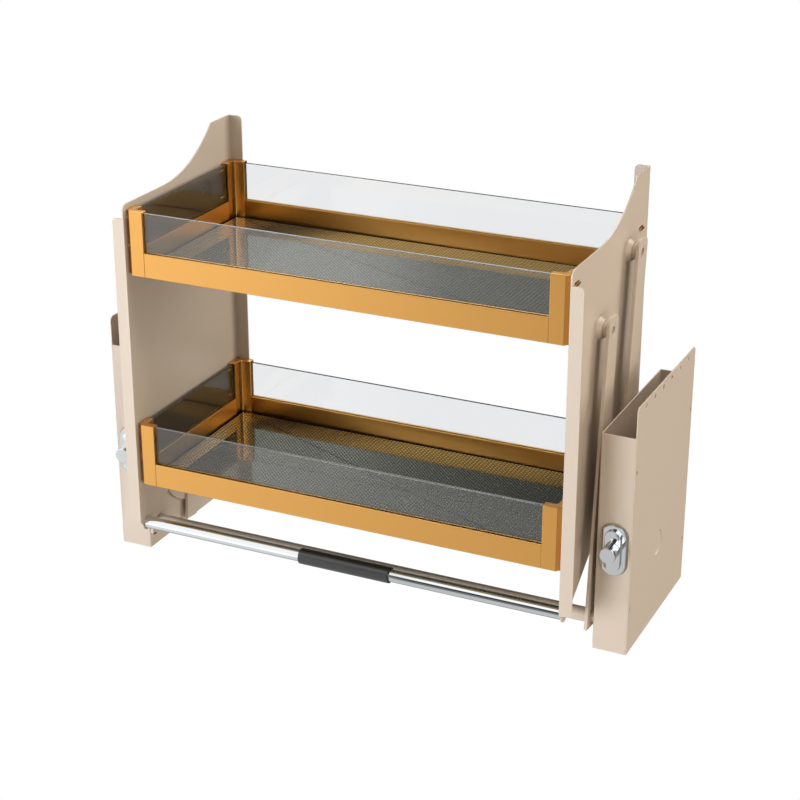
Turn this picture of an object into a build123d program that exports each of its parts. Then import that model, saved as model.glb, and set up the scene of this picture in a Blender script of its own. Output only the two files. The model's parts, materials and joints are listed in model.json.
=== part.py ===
from build123d import *
from math import cos, degrees, pi, radians, sin, tan
import os

# Pull-down shelf basket: two glass shelves hang between two sheet side plates, which swing down
# and forward on four links. The links turn on two sheet housings screwed to the cabinet sides.
# X runs across the cabinet, Y from the front to the rear, Z up. The origin is at the middle of
# the footprint, and z = 0 is the underside of the housings. Millimetres.
# Pieces of the right side are modelled, and those of the left side are their mirror images.

# Overall
opening_width = 714.0  # inside width of the cabinet, over both mounting plates
overall_depth = 278.0

# Sizes across, from the cabinet side towards the middle
housing_width = 43.6  # with its mounting plate
housing_gap = 5.0  # housing to links
arm_thickness = 4.0
link_gap = 13.0  # links to side plates
plate_thickness = 1.8

# Links
arm_length = 359.6  # between pivots
arm_width = 32.0
arm_lean = 5.4  # degrees past upright at rest
travel = 105.0  # degrees
front_pivot_y = -71.9
front_pivot_z = 38.0
rear_pivot_y = 23.6
rear_pivot_z = 104.4
arm_overhang = 17.0  # past the upper pivots
front_arm_tail = 14.0  # past the front lower pivot
rear_arm_tail = 97.8  # past the rear lower pivot
sync_tube_diameter = 18.0
sync_tube_wall = 1.8
crank_disc_radius = 71.0
crank_disc_thickness = 3.0
stop_radius = 55.0  # of the stop slot
stop_angle = 150.0  # degrees from +Y, where the stop lug stands
stop_lug_length = 8.0
stop_slot_width = 3.0

# Side plates
plate_top = 548.5
shoulder_z = 496.5
shoulder_y = -46.5  # where the shoulder starts to rise
crest_y = 77.5  # where the rise meets the top edge
front_corner_radius = 9.0
flange_bottom = 67.0
flange_top = 479.2
front_flange_width = 16.1
rear_flange_width = 18.0
flange_corner_radius = 6.0
rear_fold_radius = 2.5
inner_fold_radius = 0.7
flange_foot_radius = 4.0
skirt_z = 118.0  # lower edge behind the slanting edge
dimple_radius = 14.0
dimple_land_radius = 11.0
dimple_height = 6.2

# Handle
bar_y = -123.2
bar_z = 62.2
bar_diameter = 16.0
bar_tab_radius = 10.5
grip_length = 126.0
grip_diameter = 20.5
bar_screw_radius = 2.5
bar_screw_bite = 18.0  # length in the bar
bar_screw_head_radius = 4.5
bar_screw_head = 2.6
bar_screw_socket = 3.4  # across corners
skirt_slope = 33.4  # degrees, the slanting edge above the bar

# Shelves
front_margin = 0.7  # from the front flange to the shelf
rear_margin = 0.2
shelf_depth = 260.3
upper_shelf_z = 407.1
lower_shelf_z = 123.4
post_height = 82.9
post_leg = 25.0
post_thickness = 10.0
post_chamfer = 6.7
rail_height = 30.9
rail_lip = 2.6  # wall in front of the glass groove
groove_width = 5.2
groove_depth = 10.0
ledge_width = 6.0
ledge_thickness = 3.0
glass_thickness = 4.0
glass_seat = 3.7  # from the outer face of the frame to the glass
glass_drop = 2.0  # top of the glass below the tops of the posts
glass_bite = 4.0  # depth of the glass in the posts
floor_thickness = 4.0
floor_corner = 3.0
post_fillet = 4.0
edge_break = 0.4

# Shelf hooks and their slots
slot_length = 15.0
slot_height = 3.2
slot_levels = (36.0, 71.9)  # above the underside of a shelf
front_slot_inset = 12.5  # from the front of a shelf to the middle of the slot
rear_slot_inset = 25.3
hook_thickness = 3.0
hook_height = 8.0
hook_reach = 2.0  # past the side plate
hook_nose = 1.2
hook_play = 0.4  # at each end of a slot
hook_margin = 0.6  # of a rear hook's base from the edge of its post
tongue_height = 1.6

# Housings
housing_height = 285.0
housing_front = -82.0
sheet = 1.5
lip_width = 12.0
mount_plate_height = 323.0
mount_hole_diameter = 6.5
mount_hole_pitch = 32.0
mount_hole_count = 6
mount_hole_z = 315.0
mount_holes_middle_y = 28.5
emboss_radius = 17.5
emboss_depth = 1.2
rivet_diameter = 4.0
rivet_levels = (60.0, 240.0)
plate_corner = 4.0
fold_radius = 2.0
wall_window = 7.0  # square window in the inner wall, under the front pivot
wall_window_z = 17.9
wall_window_y = -69.8

# Adjusting drive: one turn of the knob moves the worm wheel by one tooth
escutcheon_width = 33.3
escutcheon_height = 66.3
escutcheon_z = 138.7
escutcheon_thickness = 3.5  # in front of the housing
escutcheon_bevel = 3.9  # width of the flat bevel on the side of the links
escutcheon_bevel_depth = 2.6
pad_width = 20.6
pad_height = 54.0
pad_rise = 3.6
recess_margin = 1.5  # round the escutcheon
recess_depth = 0.8
recess_taper = 40.0  # degrees
peg_radius = 1.5
peg_offset = 25.0
knob_diameter = 20.0
knob_reach = 23.8  # from the front of the housing to the cap of the knob
worm_pitch_radius = 7.0
wheel_teeth = 30
wheel_thickness = 8.0
tooth_backlash = 0.5
tooth_flank = 20.0  # degrees
spindle_diameter = 8.0
spindle_z = 140.5
bracket_y = 50.0
bracket_thickness = 3.0
bracket_height = 25.0
bracket_reach = 30.0
bracket_foot = 14.0
cap_height = 2.2  # of the knob, in front of its groove
knob_groove = 0.8
knob_groove_depth = 0.6

# Pins, shafts and spring
pin_diameter = 12.0
pin_collar_radius = 7.6
rivet_tube_radius = 6.6
rivet_bore_radius = 5.3
rivet_flange_radius = 8.2
rivet_flange = 1.2
spacer_radius = 9.8
shaft_head_radius = 9.0
bush_radius = 8.0
arbor_radius = 12.0
spring_wire = 4.6
spring_turns = 3
pin_reach = 9.0  # of the front pins into the tube
pin_head = 3.5
shaft_head = 2.5
bush_flange = 2.0
outer_bush_length = 6.0

# Clearances
running = 0.05  # radial, pins and shafts in their holes
fit = 0.1  # fixed pieces
side_gap = 0.3  # between faces that pass each other

# Places that follow from the sizes
outer_x = opening_width / 2
plate_seat_x = outer_x - sheet
housing_x = outer_x - housing_width
arm_outer_x = housing_x - housing_gap
arm_inner_x = arm_outer_x - arm_thickness
plate_outer_x = arm_inner_x - link_gap
plate_inner_x = plate_outer_x - plate_thickness
shelf_half = plate_inner_x - side_gap
front_y = -overall_depth / 2
rear_y = overall_depth / 2
shelf_front = front_y + plate_thickness + front_margin
shelf_back = shelf_front + shelf_depth
front_slot_y = shelf_front + front_slot_inset
rear_slot_y = shelf_back - rear_slot_inset
rise_y = arm_length * sin(radians(arm_lean))
rise_z = arm_length * cos(radians(arm_lean))
lower_pivots = ((front_pivot_y, front_pivot_z), (rear_pivot_y, rear_pivot_z))
upper_pivots = [(y + rise_y, z + rise_z) for y, z in lower_pivots]
housing_middle_x = (housing_x + outer_x) / 2
pin_radius = pin_diameter / 2
wheel_pitch_radius = spindle_z - rear_pivot_z - worm_pitch_radius
module = 2 * wheel_pitch_radius / wheel_teeth
lead = pi * module
tooth_height = 0.95 * module  # above the pitch line
tooth_depth = 1.2 * module  # below the pitch line
tooth_width = lead / 2 - tooth_backlash
wheel_x = housing_middle_x - wheel_thickness / 2
os.makedirs("parts", exist_ok=True)


def save(piece, name):
    piece.label = name
    export_step(piece, f"parts/{name}.step")


def save_pair(piece, name):
    save(piece, f"{name}_right")
    save(mirror(piece, about=Plane.YZ), f"{name}_left")


def both_sides(piece):
    """The solids of a right-hand piece and of its mirror image, as one group."""
    return Compound(children=[*piece.solids(), *mirror(piece, about=Plane.YZ).solids()])


def along_x(x, y=0.0, z=0.0):
    """A plane square to X, drawn in Y and Z, with its centre at the given point."""
    return Plane(origin=(x, y, z), x_dir=(0, 1, 0), z_dir=(1, 0, 0))


def along_y(y, x=0.0, z=0.0):
    """A plane square to Y and facing the rear, drawn in X and Z with X running to the left."""
    return Plane(origin=(x, y, z), x_dir=(-1, 0, 0), z_dir=(0, 1, 0))


def upright_edges(piece, x, y):
    """The upright edges of a piece at the given x and y."""
    edges = piece.edges().filter_by(Axis.Z).filter_by_position(Axis.X, x - fit, x + fit)
    return edges.filter_by_position(Axis.Y, y - fit, y + fit)


# Side plate: one folded sheet with a front and a rear flange, two dimples for the upper pivots,
# eight slots for the shelf hooks, and a tab for the handle bar
slope = radians(skirt_slope)
tab_front = bar_y - bar_tab_radius
tab_low = (bar_y + bar_tab_radius * sin(slope), bar_z - bar_tab_radius * cos(slope))
skirt_y = tab_low[0] + (skirt_z - tab_low[1]) / tan(slope)
flange_back = shelf_back + rear_margin
plate_back = flange_back + plate_thickness

with BuildPart() as side_plate:
    with BuildSketch(Plane.YZ.offset(plate_inner_x)):
        with BuildLine():
            Line((front_y, flange_bottom), (front_y, shoulder_z))
            Line((front_y, shoulder_z), (shoulder_y, shoulder_z))
            TangentArc((shoulder_y, shoulder_z), (crest_y, plate_top), tangent=(1, 0))
            Polyline((crest_y, plate_top), (plate_back, plate_top), (plate_back, skirt_z))
            Polyline((plate_back, skirt_z), (skirt_y, skirt_z), tab_low)
            ThreePointArc(tab_low, (bar_y, bar_z - bar_tab_radius), (tab_front, bar_z))
            Line((tab_front, bar_z), (front_y, flange_bottom))
        make_face()
    extrude(amount=plate_thickness)
    front_corner = side_plate.edges().filter_by(Axis.X).group_by(Axis.Y)[0].sort_by(Axis.Z)[-1]
    fillet(front_corner, front_corner_radius)
    with BuildSketch(along_y(front_y)):
        with Locations((-plate_inner_x, (flange_bottom + flange_top) / 2)):
            Rectangle(front_flange_width, flange_top - flange_bottom, align=(Align.MAX, Align.CENTER))
    extrude(amount=plate_thickness)
    flange_corners = side_plate.edges().filter_by(Axis.Y).group_by(Axis.X)[-1].sort_by(Axis.Z)
    fillet(flange_corners[-1], flange_corner_radius)
    fillet(flange_corners[0], flange_foot_radius)
    rear_width = rear_flange_width + plate_thickness
    with BuildSketch(along_y(flange_back)):
        with Locations((-plate_outer_x, (skirt_z + plate_top) / 2)):
            Rectangle(rear_width, plate_top - skirt_z, align=(Align.MIN, Align.CENTER))
    extrude(amount=plate_thickness)
    rear_corner = side_plate.edges().filter_by(Axis.Y).group_by(Axis.X)[0].sort_by(Axis.Z)[-1]
    fillet(rear_corner, flange_corner_radius)
    fillet(upright_edges(side_plate, plate_outer_x, front_y + plate_thickness), inner_fold_radius)
    fillet(upright_edges(side_plate, plate_inner_x, flange_back), inner_fold_radius)
    fillet(upright_edges(side_plate, plate_outer_x, plate_back), rear_fold_radius)
    for y, z in upper_pivots:
        with BuildSketch(along_x(plate_outer_x - plate_thickness / 2, y, z)):
            Circle(dimple_radius + plate_thickness / 2)
        with BuildSketch(along_x(plate_outer_x + dimple_height, y, z)):
            Circle(dimple_land_radius)
        loft()
        with BuildSketch(along_x(plate_inner_x, y, z)):
            Circle(dimple_radius)
        with BuildSketch(along_x(plate_inner_x + dimple_height, y, z)):
            Circle(dimple_land_radius - plate_thickness / 2)
        loft(mode=Mode.SUBTRACT)
        with BuildSketch(along_x(plate_inner_x, y, z)):
            Circle(rivet_tube_radius + fit)
        extrude(amount=dimple_height + 2 * plate_thickness, mode=Mode.SUBTRACT)
    with BuildSketch(Plane.YZ.offset(plate_inner_x)):
        for shelf_z in (lower_shelf_z, upper_shelf_z):
            for y in (front_slot_y, rear_slot_y):
                with Locations(*[(y, shelf_z + level) for level in slot_levels]):
                    Rectangle(slot_length, slot_height)
        with Locations((bar_y, bar_z)):
            Circle(bar_screw_radius + 2 * fit)
    extrude(amount=plate_thickness, mode=Mode.SUBTRACT)
save_pair(side_plate.part, "side_plate")

# Pivot rivets: tubes flanged over at both ends, and the spacers between dimple and link
rivet_start = plate_outer_x + dimple_height - plate_thickness - rivet_flange
rivet_end = arm_outer_x
with BuildPart() as pivot_rivets:
    for y, z in upper_pivots:
        with BuildSketch(along_x(rivet_start, y, z)):
            Circle(rivet_tube_radius)
        extrude(amount=rivet_end - rivet_start)
        for x in (rivet_start, rivet_end - rivet_flange):
            with BuildSketch(along_x(x, y, z)):
                Circle(rivet_flange_radius)
            extrude(amount=rivet_flange)
        with BuildSketch(along_x(rivet_start, y, z)):
            Circle(rivet_bore_radius)
        extrude(amount=rivet_end - rivet_start, mode=Mode.SUBTRACT)
save(both_sides(pivot_rivets.part), "pivot_rivets")

spacer_start = plate_outer_x + dimple_height
with BuildPart() as pivot_spacers:
    for y, z in upper_pivots:
        with BuildSketch(along_x(spacer_start, y, z)):
            Circle(spacer_radius)
            Circle(rivet_tube_radius + fit, mode=Mode.SUBTRACT)
        extrude(amount=arm_inner_x - side_gap - spacer_start)
save(both_sides(pivot_spacers.part), "pivot_spacers")

# Handle bar between the tabs of the side plates, its rubber grip and its end screws
bore_length = bar_screw_bite + 2
with BuildPart() as handle_bar:
    with BuildSketch(along_x(-plate_inner_x, bar_y, bar_z)):
        Circle(bar_diameter / 2)
    extrude(amount=2 * plate_inner_x)
    chamfer(handle_bar.edges().filter_by(GeomType.CIRCLE), 0.6)
    for x in (-plate_inner_x, plate_inner_x - bore_length):
        with BuildSketch(along_x(x, bar_y, bar_z)):
            Circle(bar_screw_radius + running)
        extrude(amount=bore_length, mode=Mode.SUBTRACT)
save(handle_bar.part, "handle_bar")

with BuildPart() as handle_grip:
    with BuildSketch(along_x(-grip_length / 2, bar_y, bar_z)):
        Circle(grip_diameter / 2)
    extrude(amount=grip_length)
    fillet(handle_grip.edges().filter_by(GeomType.CIRCLE), 0.8)
    with BuildSketch(along_x(-grip_length / 2, bar_y, bar_z)):
        Circle(bar_diameter / 2 + running)
    extrude(amount=grip_length, mode=Mode.SUBTRACT)
save(handle_grip.part, "handle_grip")

with BuildPart() as bar_screws:
    with BuildSketch(along_x(plate_outer_x, bar_y, bar_z)):
        Circle(bar_screw_head_radius)
    extrude(amount=bar_screw_head)
    fillet(bar_screws.faces().sort_by(Axis.X)[-1].edges(), 0.45 * bar_screw_head)
    with BuildSketch(along_x(plate_outer_x + bar_screw_head, bar_y, bar_z)):
        RegularPolygon(bar_screw_socket / 2, 6)
    extrude(amount=-0.6 * bar_screw_head, mode=Mode.SUBTRACT)
    with BuildSketch(along_x(plate_outer_x, bar_y, bar_z)):
        Circle(bar_screw_radius)
    extrude(amount=-plate_thickness - bar_screw_bite)
save(both_sides(bar_screws.part), "bar_screws")


# Shelves: a floor panel in a frame of four grooved rails and four corner posts, with a glass
# panel standing in each rail and between the posts
glass_top = post_height - glass_drop
glass_bottom = rail_height - groove_depth
floor_top = ledge_thickness + floor_thickness
shelf_middle_y = (shelf_front + shelf_back) / 2
half_depth = shelf_depth / 2


def rail(length):
    """A rail that runs along X with its outer face at y = 0 and its underside at z = 0."""
    with BuildPart() as bar:
        with BuildSketch(Plane.YZ.offset(-length / 2)):
            with BuildLine():
                Polyline(
                    (0, 0),
                    (post_thickness + ledge_width, 0),
                    (post_thickness + ledge_width, ledge_thickness),
                    (post_thickness, ledge_thickness),
                    (post_thickness, rail_height),
                    (rail_lip + groove_width, rail_height),
                    (rail_lip + groove_width, glass_bottom),
                    (rail_lip, glass_bottom),
                    (rail_lip, rail_height),
                    (0, rail_height),
                    close=True,
                )
            make_face()
        extrude(amount=length)
        upper = bar.edges().filter_by(Axis.X).group_by(Axis.Z)[-1].sort_by(Axis.Y)
        chamfer(upper[0], edge_break)
        chamfer(upper[-1], edge_break)
    return bar.part


def glass(span):
    """A glass panel in the frame of rail(), with ground edges."""
    with BuildPart() as pane:
        with BuildSketch(Plane.XZ.offset(-glass_seat)):
            with Locations((0, (glass_bottom + glass_top) / 2)):
                Rectangle(span + 2 * (glass_bite - fit), glass_top - glass_bottom)
        extrude(amount=-glass_thickness)
        chamfer(pane.edges().filter_by(Axis.X).group_by(Axis.Z)[-1], edge_break)
    return pane.part


def post():
    """The front right post, with its outer corner at x = 0 and y = 0 and its underside at z = 0."""
    with BuildPart() as corner:
        with BuildSketch():
            with BuildLine():
                Polyline(
                    (-post_leg, 0),
                    (-post_chamfer, 0),
                    (0, post_chamfer),
                    (0, post_leg),
                    (-post_thickness, post_leg),
                    (-post_thickness, post_thickness),
                    (-post_leg, post_thickness),
                    close=True,
                )
            make_face()
        extrude(amount=post_height)
        inner = corner.edges().filter_by(Axis.Z).filter_by_position(Axis.X, -post_thickness, -post_thickness)
        fillet(inner.sort_by(Axis.Y)[0], post_fillet)
        chamfer(corner.faces().sort_by(Axis.Z)[-1].edges(), edge_break)
        groove_top = glass_top + 2 * fit
        with BuildSketch(Plane.XY.offset(glass_bottom)):
            with Locations((-post_leg, glass_seat - fit)):
                Rectangle(glass_bite, glass_thickness + 2 * fit, align=(Align.MIN, Align.MIN))
            with Locations((-glass_seat + fit, post_leg)):
                Rectangle(glass_thickness + 2 * fit, glass_bite, align=(Align.MAX, Align.MAX))
        extrude(amount=groove_top - glass_bottom, mode=Mode.SUBTRACT)
    return corner.part


tongue_length = slot_length - 2 * hook_play


def hook_base_y(at_front):
    """Where the base of a hook starts and ends along Y."""
    if at_front:
        return front_slot_y - tongue_length / 2, front_slot_y + tongue_length / 2
    return shelf_back - post_leg + hook_margin, shelf_back - post_leg + hook_margin + tongue_length


def hook_pockets(level_z):
    """The room that the hooks at one level take in the outer faces of the right-hand posts."""
    blocks = []
    for at_front in (True, False):
        start, end = hook_base_y(at_front)
        blocks.append(
            Pos(shelf_half - hook_thickness, start - fit, level_z - hook_height / 2 - fit)
            * Box(
                hook_thickness + 1,
                end - start + 2 * fit,
                hook_height + 2 * fit,
                align=(Align.MIN, Align.MIN, Align.MIN),
            )
        )
    return blocks


front_right_post = post()
rail_span = 2 * (shelf_half - post_leg)
side_span = shelf_depth - 2 * post_leg
front_rail = rail(rail_span)
side_rail = rail(side_span)
front_glass = glass(rail_span)
side_glass = glass(side_span)

for shelf, shelf_z in (("upper", upper_shelf_z), ("lower", lower_shelf_z)):
    front_seat = Pos(0, shelf_front, shelf_z)
    side_seat = Pos(shelf_half, shelf_middle_y, shelf_z) * Rot(0, 0, 90)
    across = Plane.XZ.offset(-shelf_middle_y)
    for piece_name, seat, piece in (
        ("rail_front", front_seat, front_rail),
        ("glass_front", front_seat, front_glass),
    ):
        save(seat * piece, f"{shelf}_{piece_name}")
        save(mirror(seat * piece, about=across), f"{shelf}_{piece_name.replace('front', 'rear')}")
    save_pair(side_seat * side_rail, f"{shelf}_rail")
    save_pair(side_seat * side_glass, f"{shelf}_glass")
    front_post = Pos(shelf_half, shelf_front, shelf_z) * front_right_post
    rear_post = mirror(front_post, about=across)
    for level in slot_levels:
        for pocket in hook_pockets(shelf_z + level):
            front_post = front_post - pocket
            rear_post = rear_post - pocket
    save_pair(front_post, f"{shelf}_post_front")
    save_pair(rear_post, f"{shelf}_post_rear")
    with BuildPart() as shelf_floor:
        with BuildSketch(Plane.XY.offset(shelf_z + ledge_thickness)):
            with Locations((0, shelf_middle_y)):
                Rectangle(
                    2 * (shelf_half - post_thickness - fit),
                    shelf_depth - 2 * (post_thickness + fit),
                )
        extrude(amount=floor_thickness)
        chamfer(shelf_floor.edges().filter_by(Axis.Z), floor_corner)
    save(shelf_floor.part, f"{shelf}_floor")

# Shelf hooks: a base let into the post, and a tongue that hangs over the edge of its slot
with BuildPart() as shelf_hooks:
    for shelf_z in (lower_shelf_z, upper_shelf_z):
        for level in slot_levels:
            z = shelf_z + level
            tongue_low = z - slot_height / 2
            for at_front in (True, False):
                start, end = hook_base_y(at_front)
                with BuildSketch(Plane.YZ.offset(shelf_half - hook_thickness)):
                    with Locations(((start + end) / 2, z)):
                        Rectangle(end - start, hook_height)
                extrude(amount=hook_thickness)
                tongue_start = (front_slot_y if at_front else rear_slot_y) - tongue_length / 2
                with BuildSketch(Plane.XZ.offset(-tongue_start)):
                    with BuildLine():
                        Polyline(
                            (shelf_half, tongue_low + fit),
                            (plate_outer_x + fit, tongue_low + fit),
                            (plate_outer_x + fit, tongue_low - hook_nose),
                            (plate_outer_x + hook_reach, tongue_low - hook_nose),
                            (plate_outer_x + hook_reach, tongue_low + tongue_height),
                            (shelf_half, tongue_low + tongue_height),
                            close=True,
                        )
                    make_face()
                extrude(amount=-tongue_length)
save(both_sides(shelf_hooks.part), "shelf_hooks")


# Links
def arm(lower, upper, tail, upper_bore, foot_corners):
    """A flat link from its tail to its rounded upper end, with its two pivot holes."""
    middle = arm_length / 2 + (arm_overhang - tail) / 2
    length = arm_length + arm_overhang + tail
    lean = Plane(
        origin=(arm_inner_x, lower[0], lower[1]),
        x_dir=(0, sin(radians(arm_lean)), cos(radians(arm_lean))),
        z_dir=(1, 0, 0),
    )
    with BuildPart() as link:
        with BuildSketch(lean):
            with Locations((middle, 0)):
                Rectangle(length, arm_width)
            Circle(pin_radius + running, mode=Mode.SUBTRACT)
            with Locations((arm_length, 0)):
                Circle(upper_bore, mode=Mode.SUBTRACT)
        extrude(amount=arm_thickness)
        ends = link.edges().filter_by(Axis.X).filter_by(GeomType.LINE).sort_by(Axis.Z)
        fillet(ends[-2:], 8)
        chamfer(ends[:2].sort_by(Axis.Y)[-1], foot_corners)
        with BuildSketch(along_x(arm_outer_x, upper[0], upper[1])):
            Circle(rivet_flange_radius + fit)
        extrude(amount=-rivet_flange - side_gap, mode=Mode.SUBTRACT)
    return link.part


rivet_hole = rivet_tube_radius + running
front_arm = arm(lower_pivots[0], upper_pivots[0], front_arm_tail, rivet_hole, 3)
rear_arm = arm(lower_pivots[1], upper_pivots[1], rear_arm_tail, rivet_hole, 9)
save_pair(front_arm, "front_arm")
save_pair(rear_arm, "rear_arm")

with BuildPart() as sync_tube:
    with BuildSketch(along_x(-arm_inner_x, front_pivot_y, front_pivot_z)):
        Circle(sync_tube_diameter / 2)
        Circle(sync_tube_diameter / 2 - sync_tube_wall, mode=Mode.SUBTRACT)
    extrude(amount=2 * arm_inner_x)
save(sync_tube.part, "sync_tube")

# Crank disc: riveted up with the rear link, and stopped at both ends of its slot
stop_reach = degrees((stop_lug_length / 2 + side_gap) / stop_radius)
slot_path = Edge.make_circle(
    stop_radius,
    start_angle=stop_angle - travel - stop_reach,
    end_angle=stop_angle + stop_reach,
)
with BuildPart() as crank_disc:
    with BuildSketch(along_x(arm_outer_x, rear_pivot_y, rear_pivot_z)):
        Circle(crank_disc_radius)
        Circle(pin_radius, mode=Mode.SUBTRACT)
        SlotArc(slot_path, stop_slot_width, mode=Mode.SUBTRACT)
    extrude(amount=crank_disc_thickness)
    rim = crank_disc.faces().sort_by(Axis.X)[-1].edges().filter_by(GeomType.CIRCLE).sort_by(SortBy.RADIUS)[-1]
    fillet(rim, 0.6)
save_pair(crank_disc.part, "crank_disc")

# Housing: a folded sheet box, open at the top, with lips that meet the mounting plate
lip_x = plate_seat_x - sheet
housing_middle_y = (housing_front + rear_y) / 2
housing_depth = rear_y - housing_front
lug_angle = radians(stop_angle)
lug_y = rear_pivot_y + stop_radius * cos(lug_angle)
lug_z = rear_pivot_z + stop_radius * sin(lug_angle)
lip_middles = (housing_front + lip_width / 2, rear_y - lip_width / 2)
rivet_places = [(y, z) for y in lip_middles for z in rivet_levels]
window_depth = housing_gap - 2 * side_gap

with BuildPart() as housing:
    with BuildSketch(Plane.YZ.offset(housing_x)):
        with Locations((housing_middle_y, housing_height / 2)):
            Rectangle(housing_depth, housing_height)
    extrude(amount=plate_seat_x - housing_x)
    fillet(housing.faces().sort_by(Axis.X)[0].edges().filter_by(Axis.Z), fold_radius)
    with BuildSketch(Plane.YZ.offset(housing_x + sheet)):
        with Locations((housing_middle_y, sheet)):
            Rectangle(housing_depth - 2 * sheet, housing_height, align=(Align.CENTER, Align.MIN))
    extrude(amount=lip_x - housing_x - sheet, mode=Mode.SUBTRACT)
    with BuildSketch(Plane.YZ.offset(lip_x)):
        with Locations((housing_middle_y, lip_width)):
            Rectangle(housing_depth - 2 * lip_width, housing_height, align=(Align.CENTER, Align.MIN))
        with Locations(*rivet_places):
            Circle(rivet_diameter / 2 + running)
    extrude(amount=sheet, mode=Mode.SUBTRACT)
    with BuildSketch(Plane.YZ.offset(housing_x)):
        with Locations(lower_pivots[0]):
            Circle(pin_radius - 1 + fit)
        with Locations(lower_pivots[1]):
            Circle(bush_radius + fit)
        with Locations((wall_window_y, wall_window_z)):
            RectangleRounded(wall_window, wall_window, 1)
    extrude(amount=sheet, mode=Mode.SUBTRACT)
    # Shallow recess for the escutcheon, pressed into the front
    recess_height = escutcheon_height + 2 * recess_margin
    recess_width = escutcheon_width + 2 * recess_margin
    with BuildSketch(along_y(housing_front + sheet, housing_middle_x, escutcheon_z)):
        SlotOverall(recess_height, recess_width, rotation=90)
    extrude(amount=recess_depth)
    with BuildSketch(along_y(housing_front, housing_middle_x, escutcheon_z)):
        SlotOverall(recess_height, recess_width, rotation=90)
    extrude(amount=recess_depth, taper=recess_taper, mode=Mode.SUBTRACT)
    with BuildSketch(along_y(housing_front, housing_middle_x, spindle_z)):
        Circle(spindle_diameter / 2 + 1)
        for offset in (peg_offset, -peg_offset):
            with Locations((0, escutcheon_z - spindle_z + offset)):
                Circle(peg_radius + fit)
    extrude(amount=recess_depth + sheet, mode=Mode.SUBTRACT)
    # Stop lug, lanced from the wall and bent out, and the window that it leaves
    lug_plane = Plane(
        origin=(housing_x + sheet, lug_y, lug_z),
        x_dir=(0, -sin(lug_angle), cos(lug_angle)),
        z_dir=(-1, 0, 0),
    )
    with BuildSketch(lug_plane):
        Rectangle(stop_lug_length, sheet)
    extrude(amount=sheet + window_depth)
    with BuildSketch(lug_plane):
        with Locations((0, sheet / 2)):
            Rectangle(stop_lug_length, window_depth, align=(Align.CENTER, Align.MIN))
    extrude(amount=sheet, mode=Mode.SUBTRACT)
save_pair(housing.part, "housing")

# Mounting plate, with the row of screw holes above the housing
with BuildPart() as mount_plate:
    with BuildSketch(Plane.YZ.offset(plate_seat_x)):
        with Locations((housing_middle_y, mount_plate_height / 2)):
            Rectangle(housing_depth, mount_plate_height)
        with Locations((mount_holes_middle_y, mount_hole_z)):
            with GridLocations(mount_hole_pitch, 1, mount_hole_count, 1):
                Circle(mount_hole_diameter / 2, mode=Mode.SUBTRACT)
        with Locations(*rivet_places):
            Circle(rivet_diameter / 2 + running, mode=Mode.SUBTRACT)
    extrude(amount=sheet)
    top_corners = mount_plate.edges().filter_by(Axis.X).filter_by(GeomType.LINE).group_by(Axis.Z)[-1]
    chamfer(top_corners, plate_corner)
    with BuildSketch(along_x(plate_seat_x - emboss_depth, rear_pivot_y, rear_pivot_z)):
        Circle(emboss_radius)
    extrude(amount=emboss_depth)
    with BuildSketch(along_x(outer_x, rear_pivot_y, rear_pivot_z)):
        Circle(emboss_radius - sheet)
    extrude(amount=-emboss_depth, taper=20, mode=Mode.SUBTRACT)
save_pair(mount_plate.part, "mount_plate")

with BuildPart() as housing_rivets:
    for y, z in rivet_places:
        with BuildSketch(along_x(lip_x, y, z)):
            Circle(rivet_diameter / 2)
        extrude(amount=2 * sheet)
        with BuildSketch(along_x(lip_x, y, z)):
            Circle(0.85 * rivet_diameter)
        extrude(amount=-1.4, taper=25)
save(both_sides(housing_rivets.part), "housing_rivets")

# Front lower pivot pin, riveted into the wall of the housing
with BuildPart() as front_pivot_pins:
    with BuildSketch(along_x(arm_inner_x - pin_reach, front_pivot_y, front_pivot_z)):
        Circle(pin_radius)
    extrude(amount=arm_thickness + pin_reach + side_gap)
    chamfer(front_pivot_pins.faces().sort_by(Axis.X)[0].edges(), 0.8)
    with BuildSketch(along_x(arm_outer_x + side_gap, front_pivot_y, front_pivot_z)):
        Circle(pin_collar_radius)
    extrude(amount=housing_gap - side_gap)
    with BuildSketch(along_x(housing_x, front_pivot_y, front_pivot_z)):
        Circle(pin_radius - 1)
    extrude(amount=sheet)
    with BuildSketch(along_x(housing_x + sheet, front_pivot_y, front_pivot_z)):
        Circle(pin_collar_radius)
    extrude(amount=pin_head)
    fillet(front_pivot_pins.faces().sort_by(Axis.X)[-1].edges(), 1)
save(both_sides(front_pivot_pins.part), "front_pivot_pins")

# Pivot shaft of the rear link: head, link, crank disc, inner bush, spring arbor, worm wheel and
# outer bush sit on it in that order
inner_bush_end = housing_x + sheet + bush_flange
arbor_start = inner_bush_end + side_gap
arbor_end = wheel_x - side_gap
outer_bush_end = plate_seat_x - emboss_depth
outer_bush_start = outer_bush_end - outer_bush_length
shaft_end = outer_bush_end - 0.5
with BuildPart() as pivot_shaft:
    with BuildSketch(along_x(arm_inner_x - shaft_head, rear_pivot_y, rear_pivot_z)):
        Circle(shaft_head_radius)
    extrude(amount=shaft_head)
    chamfer(pivot_shaft.faces().sort_by(Axis.X)[0].edges(), 0.8)
    with BuildSketch(along_x(arm_inner_x, rear_pivot_y, rear_pivot_z)):
        Circle(pin_radius)
    extrude(amount=shaft_end - arm_inner_x)
    with BuildSketch(along_x(arbor_start, rear_pivot_y, rear_pivot_z)):
        Circle(arbor_radius)
    extrude(amount=arbor_end - arbor_start)
save_pair(pivot_shaft.part, "pivot_shaft")

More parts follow.
